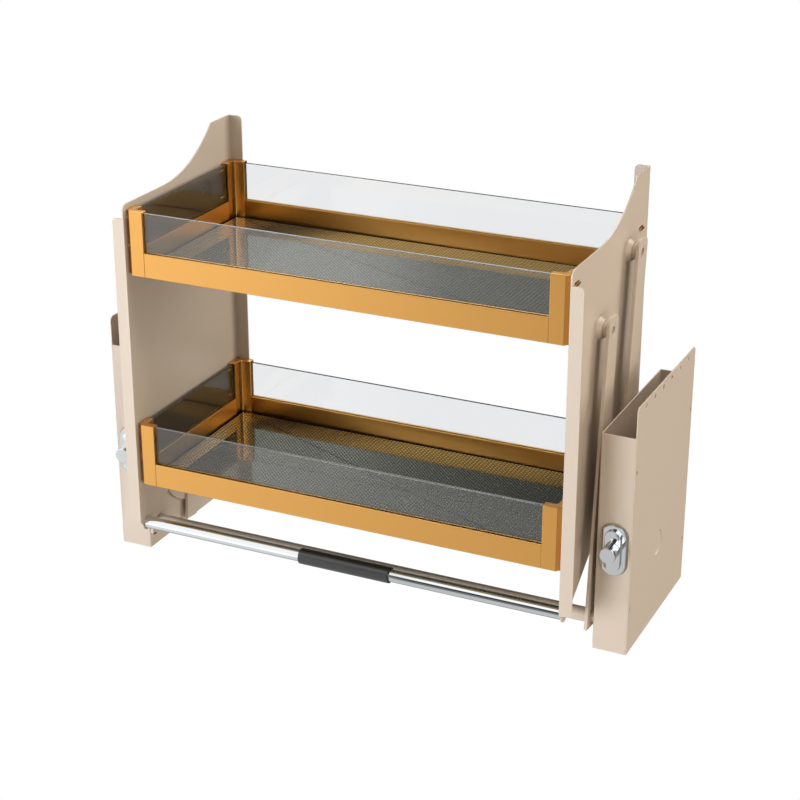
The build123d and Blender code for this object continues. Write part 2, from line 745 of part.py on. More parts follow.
with BuildPart() as shaft_bushes:
    with BuildSketch(along_x(housing_x, rear_pivot_y, rear_pivot_z)):
        Circle(bush_radius)
    extrude(amount=sheet)
    with BuildSketch(along_x(housing_x + sheet, rear_pivot_y, rear_pivot_z)):
        Circle(bush_radius + 3)
    extrude(amount=bush_flange)
    with BuildSketch(along_x(outer_bush_start, rear_pivot_y, rear_pivot_z)):
        Circle(bush_radius + 3)
    extrude(amount=outer_bush_end - outer_bush_start)
    with BuildSketch(along_x(housing_x, rear_pivot_y, rear_pivot_z)):
        Circle(pin_radius + running)
    extrude(amount=outer_bush_end - housing_x, mode=Mode.SUBTRACT)
save(both_sides(shaft_bushes.part), "shaft_bushes")

# Balance spring round the arbor, as a plain sleeve of the coil's size
spring_inner = arbor_radius + side_gap
spring_length = spring_turns * spring_wire
with BuildPart() as torsion_springs:
    with BuildSketch(along_x((arbor_start + arbor_end - spring_length) / 2, rear_pivot_y, rear_pivot_z)):
        Circle(spring_inner + spring_wire)
        Circle(spring_inner, mode=Mode.SUBTRACT)
    extrude(amount=spring_length)
save(both_sides(torsion_springs.part), "torsion_springs")


def half_width(height):
    """Half the width of a rack tooth at a height above its pitch line."""
    return tooth_width / 2 - height * tan(radians(tooth_flank))


# Worm wheel on the shaft, which holds the outer end of the spring
root_radius = wheel_pitch_radius - tooth_depth
tip_radius = wheel_pitch_radius + tooth_height
with BuildPart() as preload_wheel:
    with BuildSketch(along_x(wheel_x, rear_pivot_y, rear_pivot_z)):
        Circle(root_radius)
        with PolarLocations(0, wheel_teeth, start_angle=90):
            Polygon(
                (root_radius - 1, -half_width(-tooth_depth)),
                (tip_radius, -half_width(tooth_height)),
                (tip_radius, half_width(tooth_height)),
                (root_radius - 1, half_width(-tooth_depth)),
                align=None,
            )
    extrude(amount=wheel_thickness)
    with BuildSketch(along_x(wheel_x + wheel_thickness, rear_pivot_y, rear_pivot_z)):
        Circle(bush_radius + 3)
    extrude(amount=outer_bush_start - side_gap - wheel_x - wheel_thickness)
    with BuildSketch(along_x(wheel_x, rear_pivot_y, rear_pivot_z)):
        Circle(pin_radius + running)
    extrude(amount=outer_bush_start - wheel_x, mode=Mode.SUBTRACT)
save_pair(preload_wheel.part, "preload_wheel")

# Worm on its spindle, which runs from the knob to the rear bracket
core_radius = worm_pitch_radius - tooth_depth
worm_length = 4 * lead
spindle_radius = spindle_diameter / 2
spindle_front = housing_front - knob_reach + 6
spindle_back = bracket_y + bracket_thickness + 2
with BuildPart() as worm_spindle:
    with BuildLine():
        thread_line = Helix(
            pitch=lead,
            height=worm_length,
            radius=core_radius - 0.4,
            center=(housing_middle_x, rear_pivot_y - worm_length / 2, spindle_z),
            direction=(0, 1, 0),
        )
    thread_start = Plane(
        origin=thread_line @ 0,
        x_dir=Vector(0, 0, 1).cross(thread_line % 0),
        z_dir=thread_line % 0,
    )
    with BuildSketch(thread_start):
        with BuildLine():
            Polyline(
                (-half_width(-tooth_depth), 0),
                (-half_width(tooth_height), 0.4 + tooth_depth + tooth_height),
                (half_width(tooth_height), 0.4 + tooth_depth + tooth_height),
                (half_width(-tooth_depth), 0),
                close=True,
            )
        make_face()
    sweep(path=thread_line, is_frenet=True)
    with BuildSketch(along_y(rear_pivot_y - worm_length / 2 - lead, housing_middle_x, spindle_z)):
        Circle(core_radius)
    extrude(amount=worm_length + 2 * lead)
    with BuildSketch(along_y(spindle_front, housing_middle_x, spindle_z)):
        Circle(spindle_radius)
    extrude(amount=spindle_back - spindle_front)
save_pair(worm_spindle.part, "worm_spindle")

with BuildPart() as spindle_brackets:
    with BuildSketch(along_y(bracket_y, housing_x + sheet, spindle_z)):
        Rectangle(bracket_reach, bracket_height, align=(Align.MAX, Align.CENTER))
    extrude(amount=bracket_thickness)
    with BuildSketch(along_x(housing_x + sheet, bracket_y, spindle_z)):
        Rectangle(bracket_foot, bracket_height, align=(Align.MIN, Align.CENTER))
    extrude(amount=bracket_thickness)
    with BuildSketch(along_y(bracket_y, housing_middle_x, spindle_z)):
        Circle(spindle_radius + running)
    extrude(amount=bracket_thickness, mode=Mode.SUBTRACT)
save(both_sides(spindle_brackets.part), "spindle_brackets")

# Escutcheon in its recess: a rounded plate with a flat bevel on the side of the links, a raised
# pad round the knob, and two pegs through the front wall of the housing
escutcheon_front = housing_front - escutcheon_thickness
escutcheon_back = housing_front + recess_depth
escutcheon_inner_x = housing_middle_x - escutcheon_width / 2
pad_front = escutcheon_front - pad_rise
with BuildPart() as escutcheon:
    with BuildSketch(along_y(escutcheon_back, housing_middle_x, escutcheon_z)):
        SlotOverall(escutcheon_height, escutcheon_width, rotation=90)
    extrude(amount=escutcheon_front - escutcheon_back)
    chamfer(escutcheon.faces().sort_by(Axis.Y)[0].edges(), 0.8)
    with BuildSketch(Plane.XY.offset(escutcheon_z - escutcheon_height / 2)):
        Polygon(
            (escutcheon_inner_x, escutcheon_front),
            (escutcheon_inner_x + escutcheon_bevel, escutcheon_front),
            (escutcheon_inner_x, escutcheon_front + escutcheon_bevel_depth),
            align=None,
        )
    extrude(amount=escutcheon_height, mode=Mode.SUBTRACT)
    with BuildSketch(along_y(escutcheon_front, housing_middle_x, escutcheon_z)):
        SlotOverall(pad_height, pad_width, rotation=90)
    extrude(amount=-pad_rise)
    fillet(escutcheon.faces().sort_by(Axis.Y)[0].edges(), 0.5)
    with BuildSketch(along_y(escutcheon_back, housing_middle_x, escutcheon_z)):
        with Locations((0, peg_offset), (0, -peg_offset)):
            Circle(peg_radius)
    extrude(amount=sheet)
    with BuildSketch(along_y(escutcheon_back, housing_middle_x, spindle_z)):
        Circle(spindle_radius + running)
    extrude(amount=pad_front - escutcheon_back, mode=Mode.SUBTRACT)
save_pair(escutcheon.part, "escutcheon")

# Knob with a groove behind its cap
knob_back = pad_front - side_gap
knob_length = knob_reach - (housing_front - knob_back)
knob_radius = knob_diameter / 2
with BuildPart() as knob:
    with BuildSketch(along_y(knob_back, housing_middle_x, spindle_z)):
        Circle(knob_radius)
    extrude(amount=-knob_length)
    chamfer(knob.faces().sort_by(Axis.Y)[0].edges(), 0.8)
    with BuildSketch(along_y(knob_back - knob_length + cap_height, housing_middle_x, spindle_z)):
        Circle(knob_radius)
        Circle(knob_radius - knob_groove_depth, mode=Mode.SUBTRACT)
    extrude(amount=knob_groove, mode=Mode.SUBTRACT)
    with BuildSketch(along_y(knob_back, housing_middle_x, spindle_z)):
        Circle(spindle_radius + running)
    extrude(amount=-(knob_back - spindle_front + fit), mode=Mode.SUBTRACT)
save_pair(knob.part, "knob")
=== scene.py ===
import bmesh
import bpy
import json
from math import cos, dist, pi, radians, sin
from mathutils import Matrix, Vector

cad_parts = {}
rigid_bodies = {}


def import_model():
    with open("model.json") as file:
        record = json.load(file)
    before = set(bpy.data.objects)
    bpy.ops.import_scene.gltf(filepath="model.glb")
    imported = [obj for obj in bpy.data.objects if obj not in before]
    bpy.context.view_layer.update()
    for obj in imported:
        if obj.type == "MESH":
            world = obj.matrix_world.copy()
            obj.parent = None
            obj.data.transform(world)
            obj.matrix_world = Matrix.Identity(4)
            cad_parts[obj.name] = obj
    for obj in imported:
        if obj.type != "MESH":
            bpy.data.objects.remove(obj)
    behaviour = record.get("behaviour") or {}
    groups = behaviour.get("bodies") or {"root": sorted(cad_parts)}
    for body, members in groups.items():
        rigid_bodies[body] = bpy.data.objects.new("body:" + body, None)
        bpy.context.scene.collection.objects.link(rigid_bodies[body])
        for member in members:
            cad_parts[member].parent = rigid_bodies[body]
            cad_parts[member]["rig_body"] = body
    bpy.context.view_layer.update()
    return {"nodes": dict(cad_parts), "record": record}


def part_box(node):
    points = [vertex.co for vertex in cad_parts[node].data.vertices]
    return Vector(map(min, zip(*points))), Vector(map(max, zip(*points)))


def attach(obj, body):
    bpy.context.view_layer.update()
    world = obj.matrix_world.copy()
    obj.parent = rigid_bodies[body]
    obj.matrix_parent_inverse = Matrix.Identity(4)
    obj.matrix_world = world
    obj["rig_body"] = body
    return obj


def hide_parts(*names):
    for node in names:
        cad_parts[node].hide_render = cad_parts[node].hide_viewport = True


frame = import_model()
mm = 0.001
tolerance = 0.05 * mm
nodes = frame["nodes"]
slotOf = {row["node"]: row["material_slot"] for row in frame["record"]["subparts"]}
sides = ("left", "right")
shelves = ("upper", "lower")
print("frame loaded:", len(nodes), "nodes")


# Camera, at the photograph's view: turned to the right of the front and raised
camera = {
    "target": (-3.29, 44.51, 221.9),
    "turn": 25.1,
    "rise": 22.79,
    "distance": 2451.6,
    "lens": 85.42,
    "sensor": 36,
    "near": 50,
}
turn, rise = radians(camera["turn"]), radians(camera["rise"])
back = Vector((sin(turn) * cos(rise), -cos(turn) * cos(rise), sin(rise)))
cameraData = bpy.data.cameras.new("camera")
cameraData.lens = camera["lens"]
cameraData.sensor_width = camera["sensor"]
cameraData.clip_start = camera["near"] * mm
cameraObject = bpy.data.objects.new("camera", cameraData)
cameraObject.location = Vector(camera["target"]) * mm + back * camera["distance"] * mm
cameraObject.rotation_euler = (-back).to_track_quat("-Z", "Y").to_euler()
bpy.context.collection.objects.link(cameraObject)
bpy.context.scene.camera = cameraObject
bpy.context.scene.view_settings.view_transform = "Standard"


def linearColour(hexText):
    # sRGB hex to the linear values that the sockets take
    parts = [int(hexText[i:i + 2], 16) / 255 for i in (1, 3, 5)]
    return tuple(p / 12.92 if p <= 0.04045 else ((p + 0.055) / 1.055) ** 2.4 for p in parts) + (1,)


def newMaterial(name):
    made = bpy.data.materials.new(name)
    made.use_nodes = True
    tree = made.node_tree
    return made, tree, tree.nodes["Principled BSDF"]


def addNode(tree, kind, settings=None, links=None):
    # settings are socket values or node properties; links are the sockets that feed it
    node = tree.nodes.new(kind)
    for key, value in (settings or {}).items():
        if isinstance(key, int) or key in node.inputs:
            node.inputs[key].default_value = value
        else:
            setattr(node, key, value)
    for key, source in (links or {}).items():
        tree.links.new(source, node.inputs[key])
    return node


def setShader(tree, shader, settings, links=None):
    for key, value in settings.items():
        shader.inputs[key].default_value = value
    for key, source in (links or {}).items():
        tree.links.new(source, shader.inputs[key])


def objectSpace(tree):
    return addNode(tree, "ShaderNodeTexCoord").outputs["Object"]


def noise(tree, size, detail):
    # noise through the solid, with grains of a size in mm
    settings = {"Scale": 1 / (size * mm), "Detail": detail}
    return addNode(tree, "ShaderNodeTexNoise", settings, {"Vector": objectSpace(tree)}).outputs["Fac"]


def relief(tree, height, depth, strength):
    settings = {"Strength": strength, "Distance": depth * mm}
    return addNode(tree, "ShaderNodeBump", settings, {"Height": height}).outputs["Normal"]


def blend(tree, share, first, second):
    # from the first colour at a share of 0 to the second at 1
    settings = {"data_type": "RGBA", 6: linearColour(first), 7: linearColour(second)}
    return addNode(tree, "ShaderNodeMix", settings, {0: share}).outputs[2]


def calculate(tree, operation, first, second):
    # the second value is a number or an output
    node = addNode(tree, "ShaderNodeMath", {"operation": operation}, {0: first})
    if isinstance(second, float):
        node.inputs[1].default_value = second
    else:
        tree.links.new(second, node.inputs[1])
    return node.outputs[0]


def plainMaterial(name, colour, roughness):
    made, tree, shader = newMaterial(name)
    setShader(tree, shader, {"Base Color": linearColour(colour), "Roughness": roughness})
    return made


# Polyester powder coat: baked on, even, with a slight orange peel and a satin sheen
powderCoat = {"colour": "#C8B9A8", "roughness": 0.36, "specular": 0.75,
              "peel": 1.6, "peelDetail": 2, "peelDepth": 0.015, "peelStrength": 0.25}
coatMaterial, tree, shader = newMaterial("satinPowderCoat")
peel = noise(tree, powderCoat["peel"], powderCoat["peelDetail"])
setShader(tree, shader,
          {"Base Color": linearColour(powderCoat["colour"]), "Roughness": powderCoat["roughness"],
           "Specular IOR Level": powderCoat["specular"]},
          {"Normal": relief(tree, peel, powderCoat["peelDepth"], powderCoat["peelStrength"])})

# Bead-blasted aluminium, gold anodised: an even matt metal; where other metal mirrors it, a paler copy of the gold is
# painted in as a lighter reflected tone
goldAluminium = {"colour": "#EEB15E", "mirrored": "#EBBB70", "roughness": 0.3,
                 "film": 0.3, "filmRoughness": 0.25,
                 "grain": 0.5, "grainDetail": 1, "grainDepth": 0.01, "grainStrength": 0.2}
goldMaterial, tree, shader = newMaterial("goldAnodisedAluminium")
grain = noise(tree, goldAluminium["grain"], goldAluminium["grainDetail"])
path = addNode(tree, "ShaderNodeLightPath")
# glossy rays see the paler painted copy of the gold instead of its own colour
tone = blend(tree, path.outputs["Is Glossy Ray"], goldAluminium["colour"], goldAluminium["mirrored"])
setShader(tree, shader,
          {"Metallic": 1.0, "Roughness": goldAluminium["roughness"],
           "Coat Weight": goldAluminium["film"], "Coat Roughness": goldAluminium["filmRoughness"]},
          {"Base Color": tone,
           "Normal": relief(tree, grain, goldAluminium["grainDepth"], goldAluminium["grainStrength"])})

# Float glass: clear, very slightly wavy
floatGlass = {"wave": 40, "waveDetail": 0, "waveDepth": 0.04, "waveStrength": 0.3}


def glassMaterial(name, colour, index):
    # a shadow ray passes straight through, tinted
    made, tree, shader = newMaterial(name)
    wave = noise(tree, floatGlass["wave"], floatGlass["waveDetail"])
    setShader(tree, shader,
              {"Base Color": linearColour(colour), "Roughness": 0.0, "Transmission Weight": 1.0, "IOR": index},
              {"Normal": relief(tree, wave, floatGlass["waveDepth"], floatGlass["waveStrength"])})
    clear = addNode(tree, "ShaderNodeBsdfTransparent", {"Color": linearColour(colour)})
    path = addNode(tree, "ShaderNodeLightPath")
    mix = addNode(tree, "ShaderNodeMixShader", {},
                  {0: path.outputs["Is Shadow Ray"], 1: shader.outputs[0], 2: clear.outputs[0]})
    tree.links.new(mix.outputs[0], tree.nodes["Material Output"].inputs["Surface"])
    return made


clearGlass = glassMaterial("greyFloatGlass", "#F4F6F8", 1.65)
smokedGlass = glassMaterial("smokedFloatGlass", "#B6AFA5", 1.42)

# Upper edges of the glass: ground matt pale grey on the front panes, where they catch the light as a pale line, and a
# painted dark grey on the others, painted shade that stands in for the dark line those edges show
groundEdge = plainMaterial("groundGlassEdge", "#A0A8AF", 0.45)
# painted shade: an opaque dark grey in place of a clear glass edge
paintedShadeEdge = plainMaterial("paintedShadeGlassEdge", "#3C4246", 0.15)

# Panel: a dark high-gloss board printed with a square lattice of metallic dots that mirror
# whatever stands behind them, and with fainter dots in the middle of the squares
panel = {"base": "#17130E", "dot": "#C2C6B2", "roughness": 0.06, "pitch": 5.18,
         "dotRadius": 0.3, "dotEdge": 0.01, "strong": 1.0, "faint": 0.5}
panelMaterial, tree, shader = newMaterial("latticeGlossLaminate")
place = objectSpace(tree)
grids = []
for shift, strength in ((0.0, panel["strong"]), (0.5, panel["faint"])):
    grid = addNode(tree, "ShaderNodeMapping",
                   {"Location": (shift, shift, 0), "Scale": (1 / (panel["pitch"] * mm),) * 3}, {"Vector": place})
    cells = addNode(tree, "ShaderNodeTexVoronoi",
                    {"Scale": 1.0, "Randomness": 0.0, "voronoi_dimensions": "2D"}, {"Vector": grid.outputs[0]})
    dots = addNode(tree, "ShaderNodeMapRange",
                   {"From Min": panel["dotRadius"] - panel["dotEdge"],
                    "From Max": panel["dotRadius"] + panel["dotEdge"], "To Min": strength, "To Max": 0.0},
                   {"Value": cells.outputs["Distance"]})
    grids.append(dots.outputs[0])
lattice = calculate(tree, "MAXIMUM", *grids)
setShader(tree, shader, {"Roughness": panel["roughness"]},
          {"Base Color": blend(tree, lattice, panel["base"], panel["dot"]), "Metallic": lattice})

# Board core: fibreboard coloured near-black as painted shade for the gap round the panel, matt, seen only in that gap
boardCoreShade = {"colour": "#0C0A08", "second": "#1C1712", "roughness": 0.9, "specular": 0.2,
             "fibre": 1.5, "fibreDetail": 3}
coreShadeMaterial, tree, shader = newMaterial("fibreboardCorePaintedShade")
fibres = noise(tree, boardCoreShade["fibre"], boardCoreShade["fibreDetail"])
setShader(tree, shader, {"Roughness": boardCoreShade["roughness"], "Specular IOR Level": boardCoreShade["specular"]},
          {"Base Color": blend(tree, fibres, boardCoreShade["colour"], boardCoreShade["second"])})


def metalMaterial(name, settings, patchDetail=3, reliefStrength=0.3):
    # bare or plated metal: tone, polish and relief change a little over patches of one size
    made, tree, shader = newMaterial(name)
    patches = noise(tree, settings["patch"], patchDetail)
    smooth, dull = settings["roughness"]
    roughness = addNode(tree, "ShaderNodeMapRange", {"To Min": smooth, "To Max": dull}, {"Value": patches})
    setShader(tree, shader, {"Metallic": 1.0},
              {"Base Color": blend(tree, patches, settings["colour"], settings["second"]),
               "Roughness": roughness.outputs[0],
               "Normal": relief(tree, patches, settings["relief"], reliefStrength)})
    return made


# Chrome over polished steel: a clear mirror that is a little wavy
chromePlate = metalMaterial("chromePlate", {
    "colour": "#E6E8EA", "second": "#DEE1E3", "roughness": (0.025, 0.045), "patch": 30, "relief": 0.001})
# Zinc plating: satin, pale, with bluish clouds
zincSteel = metalMaterial("zincPlatedSteel", {
    "colour": "#CBC9C1", "second": "#AAB2B8", "roughness": (0.24, 0.38), "patch": 2.5, "relief": 0.01})
# Sintered bronze: dull brown, open pores
sinteredBronze = metalMaterial("sinteredBronze", {
    "colour": "#9A7A52", "second": "#594430", "roughness": (0.42, 0.62), "patch": 0.4, "relief": 0.04})
# Oiled spring steel: dark and streaky with oil
springSteel = metalMaterial("oiledSpringSteel", {
    "colour": "#6A6A6C", "second": "#3C3B3A", "roughness": (0.2, 0.4), "patch": 3.5, "relief": 0.01})

# Nitrile rubber sleeve, moulded with a fine grain
rubber = {"colour": "#1A1A1A", "roughness": 0.24, "specular": 1.0,
          "grain": 0.9, "grainDetail": 2, "grainDepth": 0.12, "grainStrength": 0.6}
rubberMaterial, tree, shader = newMaterial("grainedRubber")
grain = noise(tree, rubber["grain"], rubber["grainDetail"])
setShader(tree, shader,
          {"Base Color": linearColour(rubber["colour"]), "Roughness": rubber["roughness"],
           "Specular IOR Level": rubber["specular"]},
          {"Normal": relief(tree, grain, rubber["grainDepth"], rubber["grainStrength"])})

materialOf = {
    "powder_coat": coatMaterial,
    "gold_frame": goldMaterial,
    "clear_glass": clearGlass,
    "smoked_glass": smokedGlass,
    "patterned_panel": panelMaterial,
    "chrome": chromePlate,
    "grip_rubber": rubberMaterial,
    "zinc_steel": zincSteel,
    "bronze": sinteredBronze,
    "spring_steel": springSteel,
}
for name, node in nodes.items():
    node.data.materials.clear()
    node.data.materials.append(materialOf[slotOf[name]])
print("materials made:", len(materialOf))


def addPiece(name, mesh, replaced):
    # a finished mesh becomes a piece in the place of the nodes it stands for
    piece = bpy.data.objects.new(name, mesh)
    bpy.context.collection.objects.link(piece)
    mesh.materials.clear()
    mesh.materials.append(materialOf[slotOf[replaced[0]]])
    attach(piece, nodes[replaced[0]]["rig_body"])
    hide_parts(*replaced)
    return piece


def finishedMesh(shape, name):
    mesh = bpy.data.meshes.new(name)
    shape.to_mesh(mesh)
    shape.free()
    return mesh


def smoothed(shape):
    for face in shape.faces:
        face.smooth = True


softening = {"merged": 0.002, "flat": 0.3, "steps": 2, "sharpest": 30}


def softenedCopy(name, width, clamp=False, crease=30):
    # a copy of a node with its flat faces joined and its edges slightly rounded
    shape = bmesh.new()
    shape.from_mesh(nodes[name].data)
    bmesh.ops.remove_doubles(shape, verts=shape.verts, dist=softening["merged"] * mm)
    bmesh.ops.dissolve_limit(shape, angle_limit=radians(softening["flat"]), verts=shape.verts, edges=shape.edges)
    smoothed(shape)
    mesh = finishedMesh(shape, name + "_soft")
    mesh.set_sharp_from_angle(angle=radians(crease))
    piece = addPiece(name + "_soft", mesh, [name])
    rounding = piece.modifiers.new("rounding", "BEVEL")
    rounding.width = width * mm
    rounding.segments = softening["steps"]
    rounding.limit_method = "ANGLE"
    rounding.angle_limit = radians(softening["sharpest"])
    rounding.harden_normals = True
    rounding.use_clamp_overlap = clamp
    return piece


spinning = {"ringGap": 0.3, "longWall": 1.8, "merged": 0.001, "sharpest": 40}


def supported(profile):
    # extra rings close to the ends of long walls keep the smooth shading of rounded edges off them
    points = [profile[0]]
    for first, second in zip(profile, profile[1:]):
        length = dist(first, second)
        if length > spinning["longWall"]:
            gap = spinning["ringGap"] / length
            points += [tuple(f + (s - f) * share for f, s in zip(first, second)) for share in (gap, 1 - gap)]
        points.append(second)
    return points


def spunMesh(name, profile, y, z, mirrored=False, axis="X", steps=64):
    # profile: (place along the axis, radius) pairs in mm, spun about a line through the point;
    # about Y the line lies at x and z instead
    shape = bmesh.new()
    centre = Vector((0, y, z)) * mm if axis == "X" else Vector((y, 0, z)) * mm
    along = Vector((1, 0, 0)) if axis == "X" else Vector((0, 1, 0))
    points = [shape.verts.new(centre + along * a * mm + Vector((0, 0, r * mm))) for a, r in supported(profile)]
    lines = [shape.edges.new(pair) for pair in zip(points, points[1:])]
    bmesh.ops.spin(shape, geom=points + lines, cent=centre, axis=along, angle=2 * pi, steps=steps, use_merge=True)
    bmesh.ops.remove_doubles(shape, verts=shape.verts, dist=spinning["merged"] * mm)
    if mirrored:
        bmesh.ops.mirror(shape, geom=shape.verts[:] + shape.edges[:] + shape.faces[:], merge_dist=-1, axis="X")
        half = [v for v in shape.verts if v.co.x > 0]
        bmesh.ops.delete(shape, geom=half, context="VERTS")
    bmesh.ops.recalc_face_normals(shape, faces=shape.faces)
    smoothed(shape)
    mesh = finishedMesh(shape, name)
    mesh.set_sharp_from_angle(angle=radians(spinning["sharpest"]))
    return mesh


def joinedMesh(name, meshes):
    shape = bmesh.new()
    for mesh in meshes:
        shape.from_mesh(mesh)
    return finishedMesh(shape, name)


def rounded(a, r, size, aSign, rSign, steps=4):
    # points of a rounded corner of a profile, from the flat end towards the cylinder
    centre = (a + aSign * size, r - rSign * size)
    turns = [radians(90) * k / steps for k in range(steps + 1)]
    return [(centre[0] - aSign * size * cos(t), centre[1] + rSign * size * sin(t)) for t in turns]


def flipped(points):
    # the same points at the other end of a piece that is centred on the origin
    return [(-a, r) for a, r in reversed(points)]


# Sheet pieces: edges as they come from the tool, broken only by the coat
roundedEdges = {"side_plate": 0.35, "front_arm": 0.4, "rear_arm": 0.4, "mount_plate": 0.3, "housing": 0.3,
                "escutcheon": 0.35, "crank_disc": 0.3}
for kind, width in roundedEdges.items():
    for side in sides:
        softenedCopy(f"{kind}_{side}", width, clamp=kind == "side_plate", crease=5 if kind == "mount_plate" else 30)

# Shelves: extruded frame, panes with their upper edges finished, and the hooks
shelfEdges = {"rail": 0.6, "pane": 0.3, "post": 0.5, "hook": 0.2}
for shelf in shelves:
    for place in ("front", "rear", "left", "right"):
        softenedCopy(f"{shelf}_rail_{place}", shelfEdges["rail"])
        pane = softenedCopy(f"{shelf}_glass_{place}", shelfEdges["pane"])
        # front panes get the ground edge, the others the painted dark shade
        pane.data.materials.append(groundEdge if place == "front" else paintedShadeEdge)
        crown = max(v.co.z for v in pane.data.vertices)
        for face in pane.data.polygons:
            if face.center.z > crown - tolerance:
                face.material_index = 1
    for place in ("front", "rear"):
        for side in sides:
            softenedCopy(f"{shelf}_post_{place}_{side}", shelfEdges["post"])
softenedCopy("shelf_hooks", shelfEdges["hook"])
print("softened copies made")

# Floor panels: a rebate along the upper edges leaves a gap between panel and rails, darkened by the core's painted
# shade on the panel's sides and ledge
floorPanel = {"corner": 3, "cornerSteps": 4, "gap": 4.2, "gapDepth": 0.5}
for shelf in shelves:
    low, high = (Vector(c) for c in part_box(f"{shelf}_floor"))
    shape = bmesh.new()
    bmesh.ops.create_cube(shape, size=1)
    bmesh.ops.scale(shape, vec=high - low, verts=shape.verts)
    bmesh.ops.translate(shape, vec=(low + high) / 2, verts=shape.verts)
    upright = [e for e in shape.edges if abs(e.verts[0].co.z - e.verts[1].co.z) > tolerance]
    bmesh.ops.bevel(shape, geom=upright, offset=floorPanel["corner"] * mm, segments=floorPanel["cornerSteps"],
                    affect="EDGES", profile=0.5, material=-1)
    top = [f for f in shape.faces if f.normal.z > 0.9]
    bmesh.ops.inset_region(shape, faces=top, thickness=floorPanel["gap"] * mm, use_even_offset=True)
    raised = bmesh.ops.extrude_face_region(shape, geom=top)["geom"]
    bmesh.ops.delete(shape, geom=top, context="FACES")
    plateau = [g for g in raised if isinstance(g, bmesh.types.BMVert)]
    ledge = [v for v in shape.verts if v.co.z > high.z - tolerance and v not in plateau]
    bmesh.ops.translate(shape, vec=(0, 0, -floorPanel["gapDepth"] * mm), verts=ledge)
    bmesh.ops.recalc_face_normals(shape, faces=shape.faces)
    mesh = finishedMesh(shape, f"{shelf}_panel")
    addPiece(f"{shelf}_panel", mesh, [f"{shelf}_floor"])
    # the sides and the ledge take the core's near-black painted shade
    mesh.materials.append(coreShadeMaterial)
    for face in mesh.polygons:
        face.material_index = int(low.z + tolerance < face.center.z < high.z - tolerance)
print("floor panels made")

# Handle: chromed tube with broken ends, and the rubber sleeve pulled over it
handle = {"y": -123.2, "z": 62.2, "reach": 289.6, "radius": 8.0, "edge": 0.6, "steps": 96,
          "gripReach": 63.0, "gripRadius": 10.25, "gripEdge": 1.4, "gripEdgeSteps": 6, "gripPlay": 0.05}
tubeEnd = [(-handle["reach"], 0)] + rounded(-handle["reach"], handle["radius"], handle["edge"], 1, 1)
tubeMesh = spunMesh("handle_tube", tubeEnd + flipped(tubeEnd), handle["y"], handle["z"], steps=handle["steps"])
addPiece("handle_tube", tubeMesh, ["handle_bar"])
sleeveEnd = [(-handle["gripReach"], handle["radius"] + handle["gripPlay"])]
sleeveEnd += rounded(-handle["gripReach"], handle["gripRadius"], handle["gripEdge"], 1, 1, handle["gripEdgeSteps"])
sleeve = sleeveEnd + flipped(sleeveEnd)
sleeveMesh = spunMesh("handle_sleeve", sleeve + sleeve[:1], handle["y"], handle["z"], steps=handle["steps"])
addPiece("handle_sleeve", sleeveMesh, ["handle_grip"])
softenedCopy("bar_screws", 0.15)

# Cross tube of the front links
crossTube = {"y": -71.9, "z": 38.0, "reach": 304.4, "radius": 9.0, "wall": 1.8, "edge": 0.4}
outerEnd = [(-crossTube["reach"], crossTube["radius"] - crossTube["wall"])]
outerEnd += rounded(-crossTube["reach"], crossTube["radius"], crossTube["edge"], 1, 1, 3)
ring = outerEnd + flipped(outerEnd)
addPiece("cross_tube", spunMesh("cross_tube", ring + ring[:1], crossTube["y"], crossTube["z"]), ["sync_tube"])

# Upper pivots: tubular rivets with rolled rims, and the round spacers between plate and link
upperPivots = ((-38.06, 396.0), (57.44, 462.4))
rivet = {"start": 294.6, "end": 308.4, "bore": 5.3, "tube": 6.6, "rim": 8.2, "rimHeight": 1.2, "rimEdge": 0.5,
         "mouthDepth": 0.5, "mouthWidth": 0.6, "mouthRise": 0.1}
start, end, bore, rim = (rivet[k] for k in ("start", "end", "bore", "rim"))
rivetLine = [(start + rivet["mouthDepth"], bore), (start + rivet["mouthRise"], bore + rivet["mouthWidth"])]
rivetLine += rounded(start, rim, rivet["rimEdge"], 1, 1, 3)[1:]
rivetLine += [(start + rivet["rimHeight"], rim), (start + rivet["rimHeight"], rivet["tube"])]
rivetLine += [(start + end - a, r) for a, r in reversed(rivetLine)]
spacer = {"start": 297.6, "end": 304.1, "radius": 9.8, "hole": 6.7, "plateEdge": 0.5, "linkEdge": 0.9}
spacerLine = [(spacer["start"], spacer["hole"])]
spacerLine += rounded(spacer["start"], spacer["radius"], spacer["plateEdge"], 1, 1, 3)
spacerLine += reversed(rounded(spacer["end"], spacer["radius"], spacer["linkEdge"], -1, 1, 3))
spacerLine += [(spacer["end"], spacer["hole"])]
for name, line in (("pivot_rivets", rivetLine), ("pivot_spacers", spacerLine)):
    parts = [spunMesh(name, line + line[:1], y, z, flip) for y, z in upperPivots for flip in (False, True)]
    addPiece(name + "_turned", joinedMesh(name + "_turned", parts), [name])

# Front lower pivots: pins with a collar, riveted into the housings
pin = {"y": -71.9, "z": 38.0, "start": 295.4, "collar": 308.7, "wall": 313.4, "head": 314.9, "end": 318.4,
       "radius": 6.0, "tipRadius": 5.2, "tipLength": 0.8, "collarRadius": 7.6, "collarEdge": 0.4,
       "neckRadius": 5.0, "headEdge": 1.0}
pinLine = [(pin["start"], 0), (pin["start"], pin["tipRadius"]), (pin["start"] + pin["tipLength"], pin["radius"])]
pinLine += [(pin["collar"], pin["radius"]), (pin["collar"], pin["collarRadius"] - pin["collarEdge"])]
pinLine += [(pin["collar"] + pin["collarEdge"], pin["collarRadius"]), (pin["wall"], pin["collarRadius"])]
pinLine += [(pin["wall"], pin["neckRadius"]), (pin["head"], pin["neckRadius"]), (pin["head"], pin["collarRadius"])]
pinLine += reversed(rounded(pin["end"], pin["collarRadius"], pin["headEdge"], -1, 1))
pinLine += [(pin["end"], 0)]
parts = [spunMesh("pins", pinLine, pin["y"], pin["z"], flip) for flip in (False, True)]
addPiece("front_pins_turned", joinedMesh("front_pins_turned", parts), ["front_pivot_pins"])

